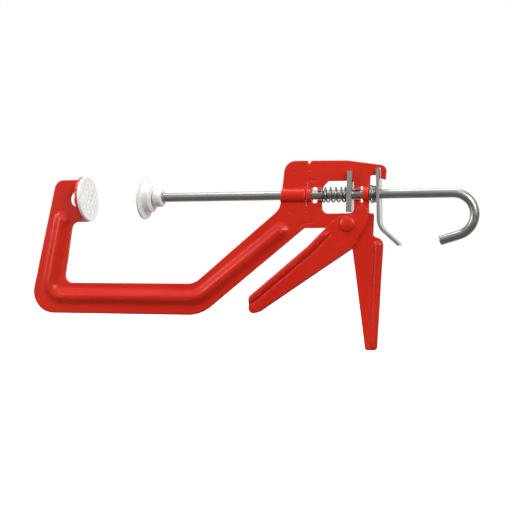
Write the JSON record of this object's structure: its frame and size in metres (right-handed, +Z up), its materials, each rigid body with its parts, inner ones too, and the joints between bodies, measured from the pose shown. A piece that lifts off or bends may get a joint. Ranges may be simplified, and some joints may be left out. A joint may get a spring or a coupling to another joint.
{
  "type": "one-handed quick-action clamp",
  "caption": "Pressed-steel C-frame bar clamp with a round sliding rod, swivel pad, squeeze trigger beside a fixed handle, and a canted brake lever.",
  "frame": {"origin": "centre of the fixed jaw pad's face, on the clamping rod's axis", "axes": "+X along the rod from the fixed jaw towards the handles and the rod's hook, +Z up with the C frame's back below the rod, +Y towards the rear shell; Y = 0 is the plane where the two shells meet"},
  "size_m": [0.4126, 0.0418, 0.164],
  "materials": {
    "red_paint": "gloss orange-red coating",
    "white_nylon": "moulded, slightly soft sheen",
    "zinc_rod": "zinc plated, fine draw lines",
    "zinc_plate": "zinc plated, stamped",
    "spring_wire": "oiled spring wire"
  },
  "bodies": {
    "frame": {"frame_front_shell": "red_paint", "frame_rear_shell": "red_paint", "fixed_jaw_pad": "white_nylon", "pivot_rivet": "red_paint", "drive_spring": "spring_wire", "brake_spring": "spring_wire"},
    "collar": {"rod_collar": "white_nylon"},
    "rod": {"clamp_rod": "zinc_rod"},
    "pad": {"swivel_pad": "white_nylon"},
    "trigger": {"trigger_lever": "red_paint"},
    "drive": {"drive_plate": "zinc_plate"},
    "brake": {"brake_lever": "zinc_plate"}
  },
  "joints": [
    {"name": "rod_slide", "type": "slide", "parent": "frame", "child": "collar", "axis": [1, 0, 0], "range_m": [-0.032, 0.104]},
    {"name": "rod_spin", "type": "hinge", "parent": "collar", "child": "rod", "pos_m": [0.0682, 0, 0], "axis": [1, 0, 0], "continuous": true},
    {"name": "pad_tilt", "type": "hinge", "parent": "rod", "child": "pad", "pos_m": [0.0611, 0, 0], "axis": [0, 1, 0], "range_deg": [-7, 7]},
    {"name": "trigger_pivot", "type": "hinge", "parent": "frame", "child": "trigger", "pos_m": [0.2447, 0, -0.0255], "axis": [0, -1, 0], "range_deg": [0, 53], "stiffness_Nm_per_rad": 0.6, "springref_deg": -20.05},
    {"name": "drive_slide", "type": "slide", "parent": "frame", "child": "drive", "axis": [-1, 0, 0], "range_m": [0, 0.0112], "deforming": ["drive_spring"]},
    {"name": "brake_pivot", "type": "hinge", "parent": "frame", "child": "brake", "pos_m": [0.2712, 0, 0.021], "axis": [0, 1, 0], "range_deg": [0, 4], "stiffness_Nm_per_rad": 0.5, "springref_deg": -5.73, "deforming": ["brake_spring"]}
  ],
  "couplings": [
    {"joint": "drive_slide", "follows": "trigger_pivot", "m_per_rad": 0.012}
  ]
}
